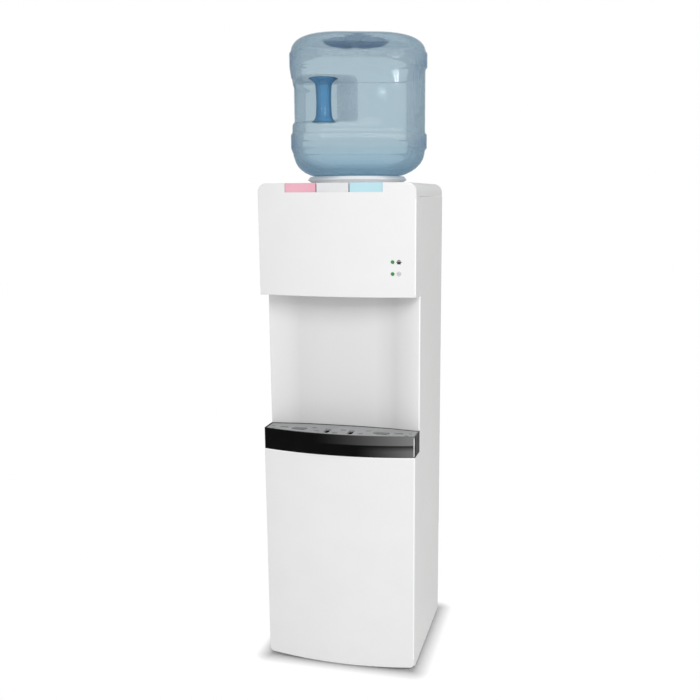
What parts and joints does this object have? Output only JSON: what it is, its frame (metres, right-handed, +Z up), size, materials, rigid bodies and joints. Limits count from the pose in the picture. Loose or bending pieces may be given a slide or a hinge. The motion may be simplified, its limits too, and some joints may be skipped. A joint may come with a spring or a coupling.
{
  "type": "top-load water cooler",
  "caption": "Free-standing top-load water cooler: push buttons for hot, room and cold water over a shallow alcove with a drip tray, and an upturned handled bottle.",
  "frame": {"origin": "on the floor, under the middle of the whole object's outline", "axes": "+X to the user's right, +Y to the rear, +Z up"},
  "size_m": [0.308, 0.334, 1.25],
  "materials": {
    "white_plastic": "smooth white moulding with a soft gloss",
    "side_steel": "light grey powder coat, satin",
    "rear_steel": "grey painted sheet, satin",
    "zinc_steel": "zinc-plated sheet, dull",
    "tray_black": "black moulding, gloss",
    "grille_grey": "grey moulding, satin",
    "hot_pink": "pale red moulding, soft gloss",
    "room_white": "off-white moulding, soft gloss",
    "cold_blue": "pale blue moulding, soft gloss",
    "bottle_blue": "clear blue-tinted polycarbonate",
    "cap_white": "soft white moulding",
    "liner_white": "smooth light grey moulding",
    "valve_white": "white moulding",
    "spring_steel": "bright drawn wire",
    "lens_green": "clear green moulding",
    "board_green": "printed circuit board",
    "foam": "moulded bead foam",
    "stainless": "spun stainless, satin",
    "copper": "drawn copper, bright",
    "coil_black": "black enamel",
    "compressor_black": "black enamel, semi-gloss",
    "hose_clear": "milky silicone rubber",
    "rubber_black": "moulded rubber",
    "switch_black": "black moulding",
    "hot_rocker": "red moulding",
    "cold_rocker": "green moulding",
    "mica": "mica and steel band"
  },
  "bodies": {
    "cabinet": {"alcove_liner": "liner_white", "base_plate": "zinc_steel", "bottle_collar": "white_plastic", "button_guide": "valve_white", "cold_baffle": "valve_white", "cold_return_spring": "spring_steel", "cold_tank": "stainless", "cold_tank_insulation": "foam", "cold_tank_lid": "valve_white", "cold_valve": "valve_white", "compressor": "compressor_black", "compressor_mounts": "rubber_black", "compressor_plate": "zinc_steel", "compressor_terminal_cover": "switch_black", "condenser_coil": "coil_black", "condenser_standoffs": "switch_black", "condenser_wires": "coil_black", "cord_gland": "switch_black", "drain_hose": "hose_clear", "drain_outlet": "switch_black", "evaporator_coil": "copper", "feed_probe": "white_plastic", "filter_drier": "copper", "front_fascia": "white_plastic", "heater_band": "mica", "hot_return_spring": "spring_steel", "hot_tank": "stainless", "hot_tank_insulation": "foam", "hot_tank_shelf": "zinc_steel", "hot_valve": "valve_white", "indicator_board": "board_green", "indicator_lenses": "lens_green", "left_side_panel": "side_steel", "lower_front_panel": "white_plastic", "rear_panel": "rear_steel", "rear_panel_screws": "zinc_steel", "refrigerant_pipes": "copper", "right_side_panel": "side_steel", "room_return_spring": "spring_steel", "room_valve": "valve_white", "rubber_feet": "rubber_black", "switch_housing": "switch_black", "tank_shelf": "zinc_steel", "top_cover": "white_plastic", "valve_bracket": "zinc_steel", "water_hoses": "hose_clear"},
    "bottle": {"bottle": "bottle_blue", "bottle_cap": "cap_white"},
    "drip_tray": {"drip_tray": "tray_black"},
    "drip_grille": {"drip_grille": "grille_grey"},
    "hot_button": {"hot_button": "hot_pink", "hot_push_rod": "valve_white"},
    "room_button": {"room_button": "room_white", "room_push_rod": "valve_white"},
    "cold_button": {"cold_button": "cold_blue", "cold_push_rod": "valve_white"},
    "hot_switch": {"hot_switch": "hot_rocker"},
    "cold_switch": {"cold_switch": "cold_rocker"},
    "drain_plug": {"drain_plug": "rubber_black"}
  },
  "joints": [
    {"name": "hot_button_press", "type": "slide", "parent": "cabinet", "child": "hot_button", "axis": [0, 0, -1], "range_m": [0, 0.006], "stiffness_N_per_m": 400, "springref_m": -0.005, "deforming": ["hot_return_spring"]},
    {"name": "room_button_press", "type": "slide", "parent": "cabinet", "child": "room_button", "axis": [0, 0, -1], "range_m": [0, 0.006], "stiffness_N_per_m": 400, "springref_m": -0.005, "deforming": ["room_return_spring"]},
    {"name": "cold_button_press", "type": "slide", "parent": "cabinet", "child": "cold_button", "axis": [0, 0, -1], "range_m": [0, 0.006], "stiffness_N_per_m": 400, "springref_m": -0.005, "deforming": ["cold_return_spring"]},
    {"name": "bottle_lift", "type": "slide", "parent": "cabinet", "child": "bottle", "axis": [0, 0, 1], "range_m": [0, 0.12]},
    {"name": "drip_tray_pull", "type": "slide", "parent": "cabinet", "child": "drip_tray", "axis": [0, -1, 0], "range_m": [0, 0.1]},
    {"name": "drip_grille_lift", "type": "slide", "parent": "drip_tray", "child": "drip_grille", "axis": [0, 0, 1], "range_m": [0, 0.06]},
    {"name": "hot_switch_rock", "type": "hinge", "parent": "cabinet", "child": "hot_switch", "pos_m": [-0.107, 0.135, 0.238], "axis": [1, 0, 0], "range_deg": [0, 18]},
    {"name": "cold_switch_rock", "type": "hinge", "parent": "cabinet", "child": "cold_switch", "pos_m": [-0.077, 0.135, 0.238], "axis": [1, 0, 0], "range_deg": [0, 18]},
    {"name": "drain_plug_pull", "type": "slide", "parent": "cabinet", "child": "drain_plug", "axis": [0, 1, 0], "range_m": [0, 0.03]}
  ]
}
